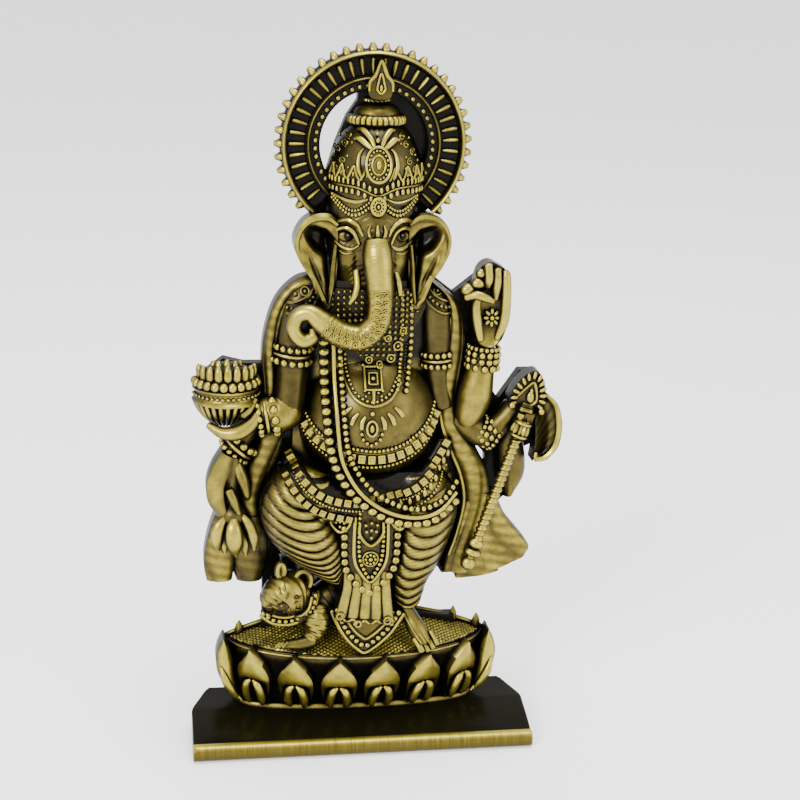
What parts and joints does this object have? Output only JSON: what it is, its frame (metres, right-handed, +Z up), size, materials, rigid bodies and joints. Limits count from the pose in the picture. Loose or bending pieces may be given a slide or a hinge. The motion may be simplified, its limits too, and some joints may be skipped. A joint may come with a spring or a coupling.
{
  "type": "hindu deity statue",
  "caption": "Four-armed elephant-headed figurine in flat-backed cast relief with a rayed halo, standing on a lotus seat and a wedge base, with a bowl, an axe and a mouse.",
  "frame": {"origin": "on the underside of the base, in the middle of its width and in line with the middle of the figure's thickness", "axes": "+Z up, -Y is the front that the figure faces, +X is to the right seen from the front"},
  "size_m": [0.0735, 0.0196, 0.14],
  "materials": {
    "antique_brass": "cast, brushed bright on the raised parts and stained dark in the hollows, under gloss lacquer",
    "bright_brass": "cast and brushed bright, dark only in the seams, under gloss lacquer",
    "olive_brass": "cast, half-toned olive patina, under gloss lacquer",
    "dark_patina": "cast, nearly black patina, satin",
    "lacquered_base": "nearly black gloss lacquer over brass, front rail brushed bright",
    "green_felt": "short matted felt",
    "screw_steel": "zinc plated, cross recess",
    "rivet_brass": "hammered over, satin"
  },
  "bodies": {
    "root": {"base_plate": "lacquered_base", "felt_pad": "green_felt", "base_screws": "screw_steel", "seat_core": "dark_patina", "seat_foot": "antique_brass", "front_petals": "bright_brass", "outer_petals": "antique_brass", "back_plate": "dark_patina", "plate_rivets": "rivet_brass", "halo_plate": "dark_patina", "halo_rings": "antique_brass", "halo_rays": "antique_brass", "halo_spokes": "antique_brass", "halo_beads": "antique_brass", "crown_dome": "olive_brass", "crown_cap": "antique_brass", "crown_finial": "antique_brass", "crown_crest": "antique_brass", "crown_bead_rows": "antique_brass", "forehead_chains": "antique_brass", "forehead_mark": "antique_brass", "head": "olive_brass", "eyes": "antique_brass", "left_ear": "olive_brass", "right_ear": "olive_brass", "trunk": "bright_brass", "tusks": "bright_brass", "torso": "olive_brass", "collar": "olive_brass", "pendant": "bright_brass", "garland": "bright_brass", "side_strand": "antique_brass", "belly_belt": "antique_brass", "waist_belt": "antique_brass", "left_leg": "antique_brass", "right_leg": "antique_brass", "right_foot": "antique_brass", "apron": "antique_brass", "pleats": "antique_brass", "hem_cloth": "antique_brass", "left_upper_arm": "olive_brass", "right_upper_arm": "olive_brass", "armlets": "antique_brass", "bracelets": "antique_brass", "bowl_arm": "antique_brass", "bowl": "bright_brass", "sweets": "bright_brass", "lotus_arm": "olive_brass", "lotus_bud": "antique_brass", "left_shawl": "antique_brass", "right_shawl": "antique_brass", "raised_arm": "antique_brass", "raised_hand": "antique_brass", "axe_arm": "olive_brass", "axe_handle": "antique_brass", "axe_head": "olive_brass", "mouse_body": "olive_brass", "mouse_head": "antique_brass", "mouse_collar": "antique_brass"}
  },
  "joints": []
}
